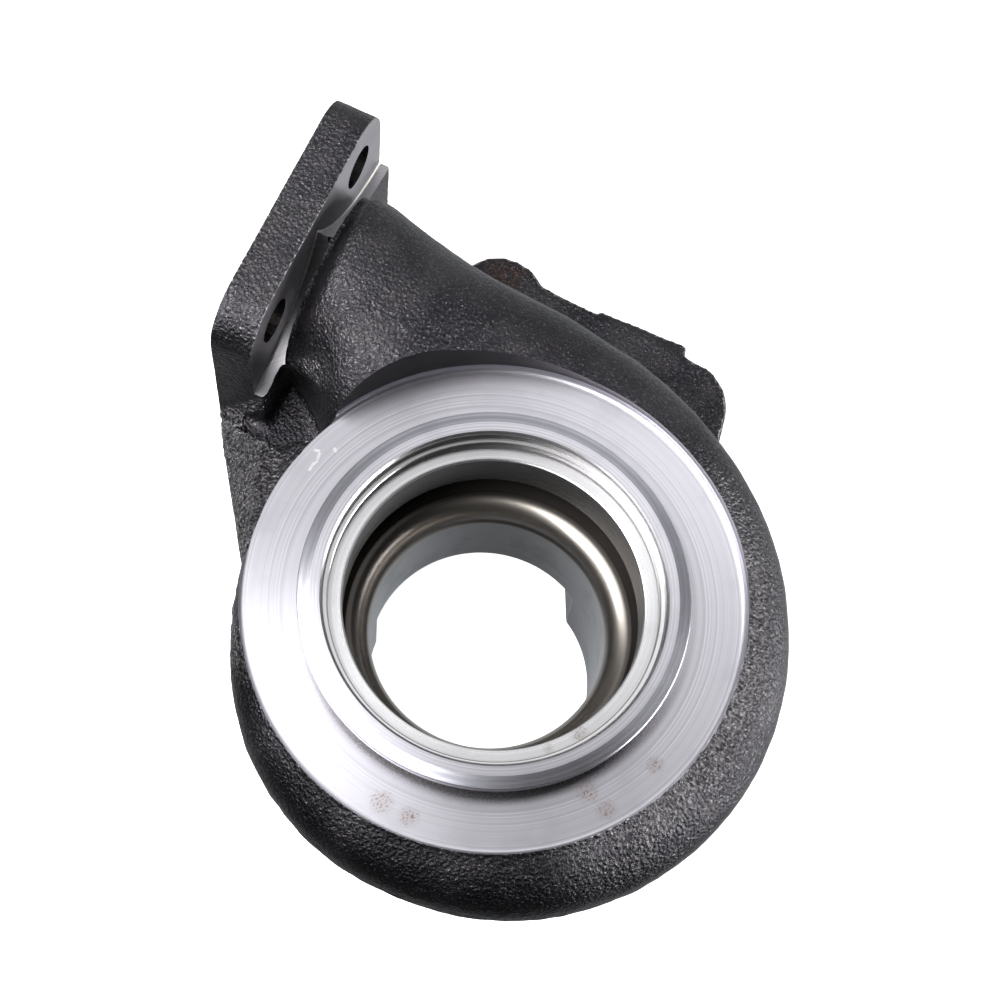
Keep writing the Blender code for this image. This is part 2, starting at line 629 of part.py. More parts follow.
def turbine_housing():
    cast = make_material("cast_iron_skin", (0.055, 0.052, 0.055), 0.62, 0.75)
    machined = make_material("machined_iron", (0.52, 0.51, 0.54), 0.3, 1.0)
    housing = volute_casting(cast)
    housing.name = "turbine_housing"
    for piece in (
        hub_casting(cast),
        web_casting(cast),
        inlet_flange(cast),
        prism("chamber", pocket_outline(POCKET_WALL), HUB_FOOT_HEIGHT, CHAMBER_TOP, cast),
        discharge_flange(cast),
    ):
        combine(housing, piece, "UNION")
    combine(housing, facing_cut(machined), "DIFFERENCE")
    combine(housing, clamp_ring(machined), "UNION")
    combine(housing, swept_face(machined), "DIFFERENCE")
    combine(housing, gas_passage(cast), "DIFFERENCE")
    combine(housing, centre_bore(machined), "DIFFERENCE")
    pocket = prism("pocket", pocket_outline(0.0), -PAST, POCKET_FLOOR, cast)
    combine(housing, pocket, "DIFFERENCE")
    wastegate = (
        (0.0, POCKET_FLOOR - PAST),
        (WASTEGATE_SEAT_RADIUS, POCKET_FLOOR - PAST),
        (WASTEGATE_SEAT_RADIUS, POCKET_FLOOR + WASTEGATE_SEAT_DEPTH),
        (WASTEGATE_RADIUS, POCKET_FLOOR + WASTEGATE_SEAT_DEPTH),
        (WASTEGATE_RADIUS, FLANGE_MIDDLE),
        (0.0, FLANGE_MIDDLE),
    )
    place = (POCKET_CENTRE_X, WASTEGATE_Y)
    port = turned("wastegate_port", wastegate, machined, HOLE_SEGMENTS, place)
    combine(housing, port, "DIFFERENCE")
    for place in flange_bolts():
        if place[1] < FLANGE_MIDDLE:
            combine(housing, spotface(place, machined), "DIFFERENCE")
        combine(housing, flange_hole(place, machined), "DIFFERENCE")
    for x, y, _, _ in DISCHARGE_LOBES:
        profile = (
            (0.0, -PAST),
            (STUD_HOLE_RADIUS, -PAST),
            (STUD_HOLE_RADIUS, STUD_HOLE_DEPTH),
            (0.0, STUD_HOLE_DEPTH + 0.5 * STUD_HOLE_RADIUS),
        )
        hole = turned("stud_hole", profile, machined, HOLE_SEGMENTS, (x, y))
        combine(housing, hole, "DIFFERENCE")
    housing.data.shade_smooth()
    housing.data.set_sharp_from_angle(angle=math.radians(32.0))
    housing.location = (WHEEL_AXIS_X, WHEEL_AXIS_Y, 0.0)
    return housing


clear_scene()
turbine_housing()
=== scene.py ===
"""Looks of the turbine housing: the casting rebuilt with its skin, machined faces and wear."""

import math

import bmesh
import bpy
import numpy as np
from mathutils import Matrix, Vector, noise

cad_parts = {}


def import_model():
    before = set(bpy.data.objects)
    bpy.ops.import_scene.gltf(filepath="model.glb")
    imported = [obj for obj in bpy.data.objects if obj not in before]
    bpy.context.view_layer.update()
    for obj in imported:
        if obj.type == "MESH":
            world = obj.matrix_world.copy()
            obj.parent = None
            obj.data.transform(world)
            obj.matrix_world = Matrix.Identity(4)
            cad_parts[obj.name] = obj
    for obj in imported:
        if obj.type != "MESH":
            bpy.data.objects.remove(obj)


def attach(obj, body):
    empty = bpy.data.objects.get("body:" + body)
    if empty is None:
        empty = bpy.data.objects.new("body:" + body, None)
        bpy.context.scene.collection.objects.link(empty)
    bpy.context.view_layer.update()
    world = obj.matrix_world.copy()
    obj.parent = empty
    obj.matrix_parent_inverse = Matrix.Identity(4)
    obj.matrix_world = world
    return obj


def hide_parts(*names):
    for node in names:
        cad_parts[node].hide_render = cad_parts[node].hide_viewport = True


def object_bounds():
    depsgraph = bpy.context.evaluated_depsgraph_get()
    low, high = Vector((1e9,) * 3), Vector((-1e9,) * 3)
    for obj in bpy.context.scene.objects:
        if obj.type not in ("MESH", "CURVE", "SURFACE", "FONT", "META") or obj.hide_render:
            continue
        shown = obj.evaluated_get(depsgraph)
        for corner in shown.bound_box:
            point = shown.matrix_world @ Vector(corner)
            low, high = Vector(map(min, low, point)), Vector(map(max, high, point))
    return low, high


# Lengths written with MM are in metres; those of the housing without it, such as its tables,
# are in millimetres. The studio at the end of the values is in metres.
MM = 0.001

# The wheel axis in the row frame; the casting is built round that axis
WHEEL_AXIS = Vector((-2.3, -27.27, 0.0)) * MM
AXIS = Vector((0.0, 0.0, 1.0))

# Clearance face: its height above the discharge face, the wall round it and the fillet between
CLEARANCE_FACE = 65.95 * MM
CLEARANCE_RADIUS = 56.3 * MM
FILLET_CENTRE = (54.8 * MM, 67.45 * MM)
FILLET_RADIUS = 1.5 * MM

# Turned profiles as radius and height above the discharge face
HOUSING_HEIGHT = 72.0
NOZZLE_TOP = 54.1
NOZZLE_FLOOR = 47.9
NOZZLE_CUT_RADIUS = 41.0
HUB_PROFILE = (
    (0.0, 4.0),
    (36.0, 4.0),
    (36.0, 21.5),
    (44.0, 34.0),
    (55.4, 42.0),
    (55.4, 68.0),
    (0.0, 68.0),
)
RING_PROFILE = (
    (0.0, 62.0),
    (41.0, 62.0),
    (41.0, 66.2),
    (41.35, 66.9),
    (41.35, 67.6),
    (42.9, 69.0),
    (43.1, 69.2),
    (43.1, 70.95),
    (42.92, 71.2),
    (40.45, 71.97),
    (40.3, HOUSING_HEIGHT),
    (0.0, HOUSING_HEIGHT),
)
BORE_PROFILE = (
    (0.0, 74.0),
    (40.2, 74.0),
    (37.75, 71.55),
    (37.55, 71.2),
    (37.5, 69.1),
    (36.7, 69.0),
    (36.5, 68.8),
    (36.5, 67.3),
    (36.9, 67.2),
    (36.9, 66.5),
    (36.7, 66.4),
    (33.8, 66.4),
    (33.45, 66.2),
    (33.3, 65.8),
    (33.3, 54.4),
    (33.6, NOZZLE_TOP),
    (NOZZLE_CUT_RADIUS, NOZZLE_TOP),
    (NOZZLE_CUT_RADIUS, NOZZLE_FLOOR),
    (0.0, NOZZLE_FLOOR),
)
PORT_PROFILE = ((0.0, 18.0), (15.5, 18.0), (15.5, 20.8), (11.5, 20.8), (11.5, 46.0), (0.0, 46.0))
STUD_HOLE_PROFILE = ((0.0, -2.0), (4.25, -2.0), (4.25, 9.5), (0.0, 11.6))

# Shroud contour from the nozzle floor to the exducer bore: a quarter of an ellipse
SHROUD_TOP_RADIUS = 32.6
SHROUD_FOOT = 41.4
SHROUD_HALF_WIDTH = 5.5
SHROUD_HALF_HEIGHT = 6.5
SHROUD_STEPS = 12
EXDUCER_RADIUS = 27.1

# Inlet flange: the way it is turned, distances of its faces from the wheel axis, and outline
FLANGE_TURN = math.radians(64.3)
FLANGE_ALONG = Vector((math.cos(FLANGE_TURN), math.sin(FLANGE_TURN), 0.0))
FLANGE_OUT = Vector((-math.sin(FLANGE_TURN), math.cos(FLANGE_TURN), 0.0))
GASKET_OFFSET = 83.0 * MM
FLANGE_BACK = 70.0 * MM
BOLT_SEAT = 72.8 * MM
SEAT_CUT_END = 69.2 * MM
FLANGE_LOW = 26.95 * MM
FLANGE_HIGH = 95.15 * MM
FLANGE_FOOT = 14.0 * MM
FLANGE_TOP = 80.5 * MM
FLANGE_CORNER = 11.5 * MM
BOLT_ALONG = (39.05 * MM, 83.05 * MM)
BOLT_HEIGHTS = (24.0 * MM, 68.0 * MM)
BOLT_HOLE_RADIUS = 5.5 * MM
SPOTFACE_RADIUS = 10.0 * MM

# Cut behind the two front bolts: where the cutter stood on both sides, its radius and the width
# of the edge band along its arcs, which carries a painted highlight
CUTTER_PLACES = ((21.05 * MM, 96.3 * MM), (101.05 * MM, 96.3 * MM))
CUTTER_HALF_SPACING = 40.0
CUTTER_RADIUS = 46.0
CUTTER_CORNER = 0.32

# Outer casting of the inlet duct: offset, inner and outer edge, crown, foot, power of its section
DUCT_SECTIONS = (
    (74.0, 37.0, 82.0, 66.5, 24.0, 2.4),
    (70.8, 37.0, 82.5, 67.5, 22.0, 2.4),
    (67.0, 36.0, 81.0, 74.0, 19.0, 2.4),
    (64.5, 35.0, 80.2, 81.0, 17.0, 2.4),
    (60.0, 31.5, 79.7, 81.8, 17.0, 2.4),
    (49.8, 22.0, 77.5, 81.0, 18.0, 2.4),
    (38.2, 18.5, 75.6, 79.6, 20.0, 2.3),
    (28.2, 17.5, 75.3, 75.8, 21.5, 2.3),
    (13.3, 17.5, 74.8, 73.2, 23.0, 2.3),
)
# Outer casting of the volute: turn in degrees, outer radius, shoulder, foot, power
VOLUTE_SECTIONS = (
    (64.3, 72.7, 70.0, 24.0, 2.3),
    (40.0, 68.9, 69.5, 25.5, 2.3),
    (8.0, 67.9, 70.0, 27.5, 2.2),
    (-20.0, 68.5, 66.3, 29.0, 2.2),
    (-40.0, 68.8, 65.9, 30.0, 2.2),
    (-65.0, 68.3, 65.9, 31.0, 2.2),
    (-90.0, 67.1, 65.9, 31.5, 2.2),
    (-110.0, 65.3, 65.9, 32.0, 2.2),
    (-131.0, 63.8, 65.9, 33.0, 2.2),
    (-156.0, 61.1, 65.6, 35.0, 2.3),
    (-176.0, 58.3, 65.4, 37.0, 2.5),
    (-191.0, 56.8, 65.2, 38.0, 2.6),
)
VOLUTE_MIDDLE_RADIUS = 46.0
VOLUTE_MIDDLE_HEIGHT = 51.0
VOLUTE_EDGE_SHARE = 0.97
DUCT_STEP = 1.5
VOLUTE_STEP = 3.0
CASTING_POINTS = 96

# Gas passage in the duct: offset, inner and outer edge, half height, power
DUCT_PASSAGE = (
    (86.0, 45.55, 76.55, 15.5, 2.3),
    (68.0, 45.55, 76.55, 15.5, 2.3),
    (48.1, 43.0, 74.0, 16.0, 2.4),
    (24.9, 40.0, 72.0, 15.6, 2.4),
)
# Gas passage in the volute: turn in degrees, outer radius, half height, height of its middle
VOLUTE_PASSAGE = (
    (64.3, 68.8, 15.0, 46.0),
    (30.0, 65.5, 15.0, 46.5),
    (0.0, 63.0, 14.0, 47.5),
    (-60.0, 61.0, 12.0, 49.0),
    (-120.0, 59.0, 9.5, 50.0),
    (-165.0, 53.5, 6.5, 50.5),
    (-195.0, 47.0, 4.5, 51.0),
)
VOLUTE_PASSAGE_POWER = 2.3
PORT_MIDDLE = 45.0
PASSAGE_INNER_RADIUS = 37.5
PASSAGE_STEP = 6.0
PASSAGE_POINTS = 48

# Web between flange and volute, and its sloping top
WEB_OUTLINE = (
    (-63.3, 58.0),
    (-55.4, 9.4),
    (-40.0, 4.0),
    (-24.0, 30.0),
    (-34.0, 62.0),
    (-50.0, 70.0),
)
WEB_FOOT = 20.0
WEB_TOP = 68.0
WEB_POCKET_OUTLINE = (
    (-66.0, 63.0),
    (-60.2, 55.7),
    (-50.7, 43.9),
    (-47.3, 41.9),
    (-45.2, 44.0),
    (-38.0, 42.0),
    (-22.0, 32.0),
    (-26.0, 68.0),
    (-50.0, 76.0),
)
WEB_POCKET_HEIGHTS = (34.5, 102.0)
WEB_PEAK = Vector((-43.7, 34.1, 66.0))
WEB_NORMAL = Vector((-0.82, 0.193, 0.538))

# Discharge flange: bolt lobes as x, y, radius and how far the arc turns in past each tangent
DISCHARGE_LOBES = (
    (6.7, 99.2, 12.2, 40.0),
    (-40.0, 52.0, 11.2, 0.0),
    (-37.0, -24.0, 11.2, 0.0),
    (24.0, -36.0, 11.2, 0.0),
    (52.3, 70.2, 12.5, 0.0),
)
DISCHARGE_TOP = 12.0
LAND_CENTRE = Vector((44.4, 91.5))
LAND_TURN = math.radians(-24.2)
LAND_HALF_WIDTH = 12.45
LAND_DEPTH = 18.0
LAND_TOP = 11.4

# Wastegate pocket, the port in its floor and the chamber wall round it
POCKET_CENTRE_X = -0.5
POCKET_HALF_WIDTH = 23.0
POCKET_END_Y = 60.0
POCKET_START_Y = 4.0
POCKET_FLARE = 1.8
POCKET_TOP = 20.0
PORT_Y = 59.0
CHAMBER_WALL = 6.5
CHAMBER_HEIGHTS = (4.0, 37.0)

# How far the cutting tools reach past the faces that they cut, how many sides a circle has, and
# the outlines of the two flat blocks
BELOW = -2.0
PAST = 2.0 * MM
CUT_DEPTH = 20.0 * MM
CUT_TOP = 100.0 * MM
CUT_SEGMENTS = 288
GASKET_BLOCK = (0.0, 120.0 * MM, -20.0 * MM, 110.0 * MM, 2.0 * MM, 2)
DISCHARGE_BLOCK = ((-110.0, -90.0), (110.0, -90.0), (110.0, 150.0), (-110.0, 150.0))

# Skin: voxel and smoothing, then its waves as depth and scale, how much deeper the fine one is
# where the skin is coarse, and the wave of the flash as height, torn height and scale
VOXEL = 1.0 * MM
SMOOTH_STEPS = 5
SLOW_WAVE = (0.14, 0.11)
MID_WAVE = (0.07, 0.32)
FINE_WAVE = (0.05, 0.62)
COARSE_DEPTH = 0.38
SKIN_INSET = 0.1
FLASH_WAVE = (0.1, 0.18, 0.3)
SHARP_ANGLE = math.radians(34.0)

# Parting line: height, sway and half width of its flash, and where on the volute it is seen
PARTING_HEIGHT = 48.0
PARTING_SWAY = 1.2
PARTING_REACH = 1.7
PARTING_RADIUS = 54.0
PARTING_MIDDLE = -75.0
PARTING_HALF_TURN = 115.0

# The cut behind the bolts runs out in the skin between these offsets, so no edge there is worn
BACK_EDGE = (68.0, 71.5)
BACK_EDGE_HEIGHT = 67.0 * MM

# Spots as x, y, z and radius: rust on the cast skin
CAST_RUST = (
    (14.6, 59.9, 76.0, 6.0),
    (62.2, 18.2, 55.0, 7.0),
    (52.1, -17.3, 60.0, 6.0),
    (8.6, 107.4, 12.0, 9.0),
    (60.0, -2.0, 55.0, 5.0),
)
# Painted shade on the cast skin under the clearance face, on the underside of the volute
CAST_PAINTED_SHADE = (
    (2.0, -61.0, 60.0, 24.0),
    (-22.0, -56.0, 60.0, 22.0),
    (-42.0, -42.0, 60.0, 20.0),
    (-56.0, -20.0, 58.0, 16.0),
)
# Rust on the machined face and in the bore
FACE_RUST = (
    (-24.8, -44.3, 66.0, 3.5),
    (-19.0, -47.6, 66.0, 3.0),
    (19.2, -42.6, 66.0, 3.2),
    (34.0, -36.8, 66.0, 2.6),
    (23.0, -46.5, 66.0, 3.0),
    (33.0, 14.0, 72.0, 2.5),
)
BORE_RUST = ((18.0, -30.1, 66.4, 2.5), (11.0, -33.3, 66.4, 1.6))
# Scuffs on the clearance face: strokes as x, y of both ends, drawn as small spots along them
SCUFF_LINES = (
    (-39.4, 35.8, -38.2, 35.7),
    (-38.4, 35.0, -39.0, 33.2),
    (-39.0, 33.2, -40.0, 32.2),
    (-40.0, 32.2, -40.8, 30.7),
    (-34.8, 35.7, -35.1, 36.5),
)
SCUFF_RADIUS = 0.55
SCUFFS = tuple(
    (x0 + (x1 - x0) * k / 3, y0 + (y1 - y0) * k / 3, CLEARANCE_FACE / MM, SCUFF_RADIUS)
    for x0, y0, x1, y1 in SCUFF_LINES
    for k in range(3)
)

# Colours of the cast skin, with its painted glints and painted shade
SKIN_DARK = (0.024, 0.0225, 0.027)
SKIN_PALE = (0.05, 0.0475, 0.053)
SKIN_WORN_SPECK_AND_GLINT = (0.19, 0.182, 0.195)
SKIN_PAINTED_GLINT = (0.36, 0.345, 0.355)
SKIN_PAINTED_HOLLOW_SHADE = (0.012, 0.011, 0.013)
SKIN_BROWN = (0.09, 0.06, 0.047)
SKIN_RUST = (0.11, 0.058, 0.042)
SKIN_FLASH_PAINTED_SHADE = (0.03, 0.028, 0.03)
SKIN_EDGE = (0.42, 0.41, 0.42)
SKIN_PAINTED_SHADE = (0.006, 0.0055, 0.007)

# Colours of what lies on the machined metal, with the painted shade near the nozzle slot, the
# grime and painted shadow at the ring foot and the painted shade in the holes
RUST_HALO = (0.29, 0.25, 0.235)
RUST = (0.13, 0.07, 0.055)
SLOT_EDGE_PAINTED_SHADE = (0.012, 0.011, 0.01)
GRIME_AND_PAINTED_SHADOW = (0.055, 0.047, 0.042)
SCUFFED = (0.95, 0.95, 0.97)
# Dark tints in the drilled holes: painted shade, varied by stains
HOLE_PAINTED_SHADE_PALE = (0.16, 0.15, 0.15)
HOLE_PAINTED_SHADE_DARK = (0.06, 0.052, 0.05)

# Machined looks: name, tint, dull tint, roughness, and what else differs from the usual
MACHINED = {
    "turned": (
        ("turned_face", (0.65, 0.64, 0.69), (0.47, 0.46, 0.505), 0.31),
        {"spots": FACE_RUST, "lined": 0.75, "face": True},
    ),
    # A dark copy of the turned metal for the recess wall and the small bore ledges: painted shade
    "wall": (("turned_wall_painted_shade", (0.105, 0.1, 0.108), (0.06, 0.057, 0.062), 0.34), {"lined": 0.5}),
    "chamfer": (("ring_chamfer", (0.56, 0.56, 0.61), (0.34, 0.34, 0.385), 0.36), {"lined": 0.8}),
    "milled": (("milled_face", (0.50, 0.49, 0.51), (0.34, 0.33, 0.35), 0.36), {"lined": 0.5}),
    # A bright copy of the milled metal for the cutter's corner band: painted highlight
    "corner": (("corner_painted_highlight", (0.95, 0.92, 0.86), (0.8, 0.76, 0.7), 0.45), {"stretch": 0.0}),
    # A dark copy of the bore metal for the pilot and wheel-bore walls: painted shade
    "pilot": (("bore_wall_painted_shade", (0.25, 0.24, 0.24), (0.16, 0.155, 0.155), 0.28), {"lined": 0.4}),
    "bore": (
        ("turned_bore", (0.76, 0.755, 0.77), (0.56, 0.555, 0.57), 0.29),
        {"spots": BORE_RUST, "lined": 0.5},
    ),
    # The shroud carries painted shade towards the nozzle slot edge
    "shroud": (
        ("turned_shroud", (0.42, 0.385, 0.35), (0.33, 0.305, 0.28), 0.28),
        {"lined": 0.06, "stretch": 0.0, "painted_shade": (46.9, 48.1)},
    ),
    # A near-black copy of the machined metal in the nozzle slot: painted shade
    "slot": (("nozzle_slot_painted_shade", (0.03, 0.027, 0.025), (0.018, 0.016, 0.015), 0.5), {"lined": 0.2}),
    "exducer": (("exducer_bore", (0.70, 0.71, 0.73), (0.27, 0.28, 0.30), 0.34), {"lined": 0.2}),
}

# Studio: colour of the surroundings, their strength on the dark and on the table side, the
# direction of that side, and lamps as name, place, size and power
WORLD_COLOR = (0.94, 0.97, 1.0, 1.0)
WORLD_LIGHT = (0.02, 0.6)
TABLE_SIDE = (0.35, 0.75, -0.55)
LAMPS = (
    ("key", (-0.58, -0.17, 0.82), 0.85, 23.5),
    ("overhead", (0.08, 0.60, 1.10), 1.0, 3.8),
    ("right", (0.95, -0.30, 0.08), 0.8, 20.0),
)
LAMP_AIM = Vector((0.0, 0.0, 0.05))
FLOOR_SIZE = 2.0

# Camera of the photograph, fitted to its nested circles; its place is from the wheel axis
LENS = 79.2
SENSOR = 36.0
CAMERA_RIGHT = Vector((0.9978, -0.0231, 0.0630))
CAMERA_UP = Vector((0.0, 0.9390, 0.3440))
CAMERA_PLACE = Vector((-0.0311, -0.1450, 0.5271))



def solid_from(name, bm, *materials):
    bmesh.ops.recalc_face_normals(bm, faces=bm.faces)
    bmesh.ops.triangulate(bm, faces=[face for face in bm.faces if len(face.verts) > 4])
    mesh = bpy.data.meshes.new(name)
    bm.to_mesh(mesh)
    bm.free()
    for material in materials:
        mesh.materials.append(material)
    solid = bpy.data.objects.new(name, mesh)
    bpy.context.scene.collection.objects.link(solid)
    return solid


def in_metres(profile):
    return [(radius * MM, height * MM) for radius, height in profile]


def turned(name, profile, material, segments=192, centre=(0.0, 0.0), bands=None):
    """A solid of revolution: profile points are radius and height, first and last on the axis.
    The bands give other materials to lines of the profile, counted from 0."""
    bm = bmesh.new()
    rings = []
    for radius, height in profile:
        if radius == 0.0:
            rings.append([bm.verts.new((centre[0], centre[1], height))])
            continue
        ring = []
        for index in range(segments):
            turn = 2.0 * math.pi * index / segments
            x = centre[0] + radius * math.cos(turn)
            y = centre[1] + radius * math.sin(turn)
            ring.append(bm.verts.new((x, y, height)))
        rings.append(ring)
    materials = [material]
    for line, (below, above) in enumerate(zip(rings, rings[1:])):
        chosen = (bands or {}).get(line, material)
        if chosen not in materials:
            materials.append(chosen)
        for index in range(segments):
            after = (index + 1) % segments
            corners = {below[index % len(below)]: None, below[after % len(below)]: None}
            corners[above[after % len(above)]] = None
            corners[above[index % len(above)]] = None
            face = bm.faces.new(list(corners))
            face.material_index = materials.index(chosen)
    return solid_from(name, bm, *materials)


def lofted(name, sections, material, first=None):
    """A closed solid through sections of equal point count, with a flat cap at each end.
    Its first run of faces can have a material of its own."""
    bm = bmesh.new()
    rings = [[bm.verts.new(point) for point in section] for section in sections]
    count = len(rings[0])
    for run, (near, far) in enumerate(zip(rings, rings[1:])):
        for index in range(count):
            after = (index + 1) % count
            face = bm.faces.new((near[index], near[after], far[after], far[index]))
            face.material_index = int(run == 0 and first is not None)
    bm.faces.new(rings[0][::-1])
    bm.faces.new(rings[-1])
    return solid_from(name, bm, *(m for m in (material, first) if m))


def prism(name, outline, low, high, material):
    """An upright solid on an outline of x, y points in millimetres."""
    sections = []
    for height in (low, high):
        sections.append([Vector((x * MM, y * MM, height * MM)) for x, y in outline])
    return lofted(name, sections, material)


def on_flange(offset, along, height):
    return FLANGE_OUT * offset + FLANGE_ALONG * along + AXIS * height


def flange_prism(name, outline, near, far, material):
    first = [on_flange(near, along, height) for along, height in outline]
    second = [on_flange(far, along, height) for along, height in outline]
    return lofted(name, [first, second], material)


def arc(centre, radius, start, end, steps):
    points = []
    for index in range(steps + 1):
        turn = math.radians(start + (end - start) * index / steps)
        points.append((centre[0] + radius * math.cos(turn), centre[1] + radius * math.sin(turn)))
    return points


def rounded_rectangle(low_u, high_u, low_v, high_v, radius, steps=14):
    points = arc((high_u - radius, high_v - radius), radius, 0.0, 90.0, steps)
    points += arc((low_u + radius, high_v - radius), radius, 90.0, 180.0, steps)
    points += arc((low_u + radius, low_v + radius), radius, 180.0, 270.0, steps)
    points += arc((high_u - radius, low_v + radius), radius, 270.0, 360.0, steps)
    return points


def superellipse(centre, across, half_across, rise, drop, power, count):
    points = []
    for index in range(count):
        turn = 2.0 * math.pi * index / count
        side = math.copysign(abs(math.cos(turn)) ** (2.0 / power), math.cos(turn))
        lift = math.copysign(abs(math.sin(turn)) ** (2.0 / power), math.sin(turn))
        height = lift * (rise if lift > 0.0 else drop)
        points.append(centre + across * (side * half_across) + AXIS * height)
    return points


def between(stations, position):
    """The values at a position on a smooth curve through stations, whose first value is place."""
    order = sorted(stations)
    index = max(i for i in range(len(order) - 1) if i == 0 or order[i][0] <= position)
    low = order[index]
    high = order[index + 1]
    before = order[max(index - 1, 0)]
    after = order[min(index + 2, len(order) - 1)]
    span = high[0] - low[0]
    t = (position - low[0]) / span
    values = []
    for k in range(1, len(low)):
        slope_low = (high[k] - before[k]) / (high[0] - before[0]) * span
        slope_high = (after[k] - low[k]) / (after[0] - low[0]) * span
        rise = high[k] - low[k]
        bend_a = 3.0 * rise - 2.0 * slope_low - slope_high
        bend_b = slope_low + slope_high - 2.0 * rise
        values.append(low[k] + t * (slope_low + t * (bend_a + t * bend_b)))
    return values


def places(stations, step):
    """Evenly spaced places from the first station to the last."""
    first = stations[0][0]
    last = stations[-1][0]
    count = round(abs(first - last) / step)
    return [first + (last - first) * index / count for index in range(count + 1)]


def around(turn):
    return Vector((math.cos(math.radians(turn)), math.sin(math.radians(turn)), 0.0))


def volute_casting(material):
    """The outer casting: straight sections of the duct, then those wound round the axis.
    The crown of a volute section is set so that it meets the clearance radius at its shoulder."""
    sections = []
    count = CASTING_POINTS
    for offset in places(DUCT_SECTIONS, DUCT_STEP):
        inner, outer, crown, foot, power = between(DUCT_SECTIONS, offset)
        centre = on_flange(offset * MM, 0.5 * (inner + outer) * MM, VOLUTE_MIDDLE_HEIGHT * MM)
        rise = (crown - VOLUTE_MIDDLE_HEIGHT) * MM
        drop = (VOLUTE_MIDDLE_HEIGHT - foot) * MM
        half = 0.5 * (outer - inner) * MM
        sections.append(superellipse(centre, FLANGE_ALONG, half, rise, drop, power, count))
    for turn in places(VOLUTE_SECTIONS, VOLUTE_STEP):
        outer, shoulder, foot, power = between(VOLUTE_SECTIONS, turn)
        half = outer - VOLUTE_MIDDLE_RADIUS
        share = (CLEARANCE_RADIUS / MM - VOLUTE_MIDDLE_RADIUS) / half
        share = min(share, VOLUTE_EDGE_SHARE)
        rise = (shoulder - VOLUTE_MIDDLE_HEIGHT) / (1.0 - share**power) ** (1.0 / power)
        drop = VOLUTE_MIDDLE_HEIGHT - foot
        across = around(turn)
        centre = across * VOLUTE_MIDDLE_RADIUS * MM + AXIS * VOLUTE_MIDDLE_HEIGHT * MM
        size = (half * MM, rise * MM, drop * MM)
        sections.append(superellipse(centre, across, *size, power, count))
    return lofted("volute_casting", sections, material)


def gas_passage(material):
    """The hollow of duct and volute as one solid, for cutting."""
    sections = []
    count = PASSAGE_POINTS
    for offset in places(DUCT_PASSAGE, PASSAGE_STEP):
        inner, outer, half_height, power = between(DUCT_PASSAGE, offset)
        centre = on_flange(offset * MM, 0.5 * (inner + outer) * MM, PORT_MIDDLE * MM)
        half = 0.5 * (outer - inner) * MM
        rise = half_height * MM
        sections.append(superellipse(centre, FLANGE_ALONG, half, rise, rise, power, count))
    for turn in places(VOLUTE_PASSAGE, PASSAGE_STEP):
        outer, half_height, middle = between(VOLUTE_PASSAGE, turn)
        across = around(turn)
        half = 0.5 * (outer - PASSAGE_INNER_RADIUS)
        centre = across * (PASSAGE_INNER_RADIUS + half) * MM + AXIS * middle * MM
        rise = half_height * MM
        power = VOLUTE_PASSAGE_POWER
        sections.append(superellipse(centre, across, half * MM, rise, rise, power, count))
    return lofted("gas_passage", sections, material)


def hub_casting(material):
    return turned("hub_casting", in_metres(HUB_PROFILE), material)


def web_casting(material):
    low = [Vector((x, y, WEB_FOOT)) * MM for x, y in WEB_OUTLINE]
    high = []
    for x, y in WEB_OUTLINE:
        run = (WEB_PEAK.x - x) * WEB_NORMAL.x + (WEB_PEAK.y - y) * WEB_NORMAL.y
        high.append(Vector((x, y, min(WEB_PEAK.z + run / WEB_NORMAL.z, WEB_TOP))) * MM)
    web = lofted("web_casting", [low, high], material)
    cut(web, prism("web_pocket", WEB_POCKET_OUTLINE, *WEB_POCKET_HEIGHTS, material))
    return web


def tangent_turn(one, other):
    """The turn in degrees at which a straight edge from one lobe to the other leaves it."""
    step = Vector((other[0] - one[0], other[1] - one[1]))
    lean = math.asin((one[2] - other[2]) / step.length)
    return math.degrees(math.atan2(step.y, step.x) + lean) - 90.0


def around_lobes():
    points = []
    count = len(DISCHARGE_LOBES)
    for index, lobe in enumerate(DISCHARGE_LOBES):
        start = tangent_turn(DISCHARGE_LOBES[index - 1], lobe)
        end = tangent_turn(lobe, DISCHARGE_LOBES[(index + 1) % count])
        while end < start:
            end += 360.0
        points += arc((lobe[0], lobe[1]), lobe[2], start - lobe[3], end + lobe[3], 20)
    return points


def discharge_flange(material):
    flange = prism("discharge_flange", around_lobes(), BELOW, DISCHARGE_TOP, material)
    along = Vector((math.cos(LAND_TURN), math.sin(LAND_TURN)))
    inward = Vector((math.sin(LAND_TURN), -math.cos(LAND_TURN)))
    outline = []
    for side, depth in ((1, 0.0), (-1, 0.0), (-1, LAND_DEPTH), (1, LAND_DEPTH)):
        place = LAND_CENTRE + along * (side * LAND_HALF_WIDTH) + inward * depth
        outline.append((place.x, place.y))
    join(flange, prism("land", outline, BELOW, LAND_TOP, material))
    return flange


def pocket_outline(grow):
    radius = POCKET_HALF_WIDTH + grow
    points = arc((POCKET_CENTRE_X, POCKET_END_Y), radius, 0.0, 180.0, 36)
    points.append((POCKET_CENTRE_X - radius - POCKET_FLARE, POCKET_START_Y))
    return points + [(POCKET_CENTRE_X + radius, POCKET_START_Y)]


def combine(body, tool, operation):
    """Joins the tool to the body or cuts it away, and removes the tool."""
    step = body.modifiers.new(tool.name, "BOOLEAN")
    step.operation = operation
    step.solver = "EXACT"
    step.material_mode = "TRANSFER"
    step.object = tool
    bake(body)
    bpy.data.objects.remove(tool)


def join(body, tool):
    combine(body, tool, "UNION")


def cut(body, tool):
    combine(body, tool, "DIFFERENCE")


def bake(body):
    """Applies the modifiers of the body to its mesh."""
    graph = bpy.context.evaluated_depsgraph_get()
    mesh = bpy.data.meshes.new_from_object(body.evaluated_get(graph))
    body.modifiers.clear()
    body.data = mesh


